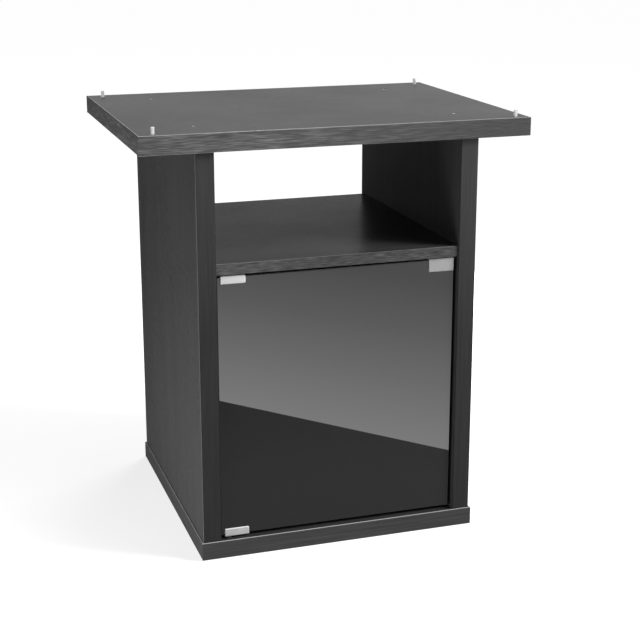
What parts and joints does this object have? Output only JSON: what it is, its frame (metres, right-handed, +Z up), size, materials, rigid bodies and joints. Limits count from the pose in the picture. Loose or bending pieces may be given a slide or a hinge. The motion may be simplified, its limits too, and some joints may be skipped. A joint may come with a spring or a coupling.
{
  "type": "terrarium stand",
  "caption": "Board-built terrarium stand with an open upper bay, a fixed shelf, a dark glass door on pivot clips below, and locating pins on its overhanging top.",
  "frame": {"origin": "on the floor under the centre of the top panel", "axes": "+X to the right seen from the front, +Y to the back, +Z up"},
  "size_m": [0.64, 0.48, 0.712],
  "materials": {
    "board": "charcoal melamine board with a fine wood-grain texture, satin",
    "edge_band": "charcoal edge band with a streaked wood print, satin",
    "back_board": "thin hardboard, charcoal lacquer, matte",
    "dowel_wood": "plain beech",
    "zinc_steel": "zinc-plated steel",
    "black_steel": "blackened screw heads, bright steel left in the sockets",
    "pin_steel": "bright plated steel",
    "satin_metal": "satin nickel-plated metal",
    "strike_steel": "satin nickel-plated steel, darker than the hinge clips",
    "door_glass": "dark tempered glass, polished",
    "pad_rubber": "black rubber",
    "nylon": "black nylon",
    "latch_plastic": "dark grey moulded plastic, matte",
    "magnet": "plated magnet disc"
  },
  "bodies": {
    "carcass": {"top_panel": "board", "top_edge_bands": "edge_band", "side_panel_left": "board", "side_panel_right": "board", "side_edge_bands_left": "edge_band", "side_edge_bands_right": "edge_band", "base_panel": "board", "base_edge_bands": "edge_band", "middle_shelf": "board", "shelf_edge_bands": "edge_band", "back_panel": "back_board", "top_screws": "black_steel", "base_screws": "black_steel", "top_dowels": "dowel_wood", "base_dowels": "dowel_wood", "shelf_dowels": "dowel_wood", "cam_bolts": "zinc_steel", "cam_locks": "zinc_steel", "back_panel_screws": "zinc_steel", "locating_pins": "pin_steel", "upper_hinge_bush": "nylon", "lower_hinge_bush": "nylon", "latch_housing": "latch_plastic", "latch_spring": "zinc_steel", "latch_screws": "zinc_steel"},
    "door": {"glass_door": "door_glass", "upper_hinge_clip": "satin_metal", "lower_hinge_clip": "satin_metal", "upper_clip_pads": "pad_rubber", "lower_clip_pads": "pad_rubber", "upper_clip_screws": "zinc_steel", "lower_clip_screws": "zinc_steel", "upper_pivot_pin": "zinc_steel", "lower_pivot_pin": "zinc_steel", "strike_plate": "strike_steel", "strike_plate_pads": "pad_rubber", "strike_plate_screws": "zinc_steel"},
    "plunger": {"latch_plunger": "nylon", "latch_magnet": "magnet"}
  },
  "joints": [
    {"name": "door_hinge", "type": "hinge", "parent": "carcass", "child": "door", "pos_m": [-0.19, -0.2215, 0.25], "axis": [0, 0, -1], "range_deg": [0, 110]},
    {"name": "latch_push", "type": "slide", "parent": "carcass", "child": "plunger", "axis": [0, 1, 0], "range_m": [0, 0.003], "stiffness_N_per_m": 400, "deforming": ["latch_spring"]}
  ]
}
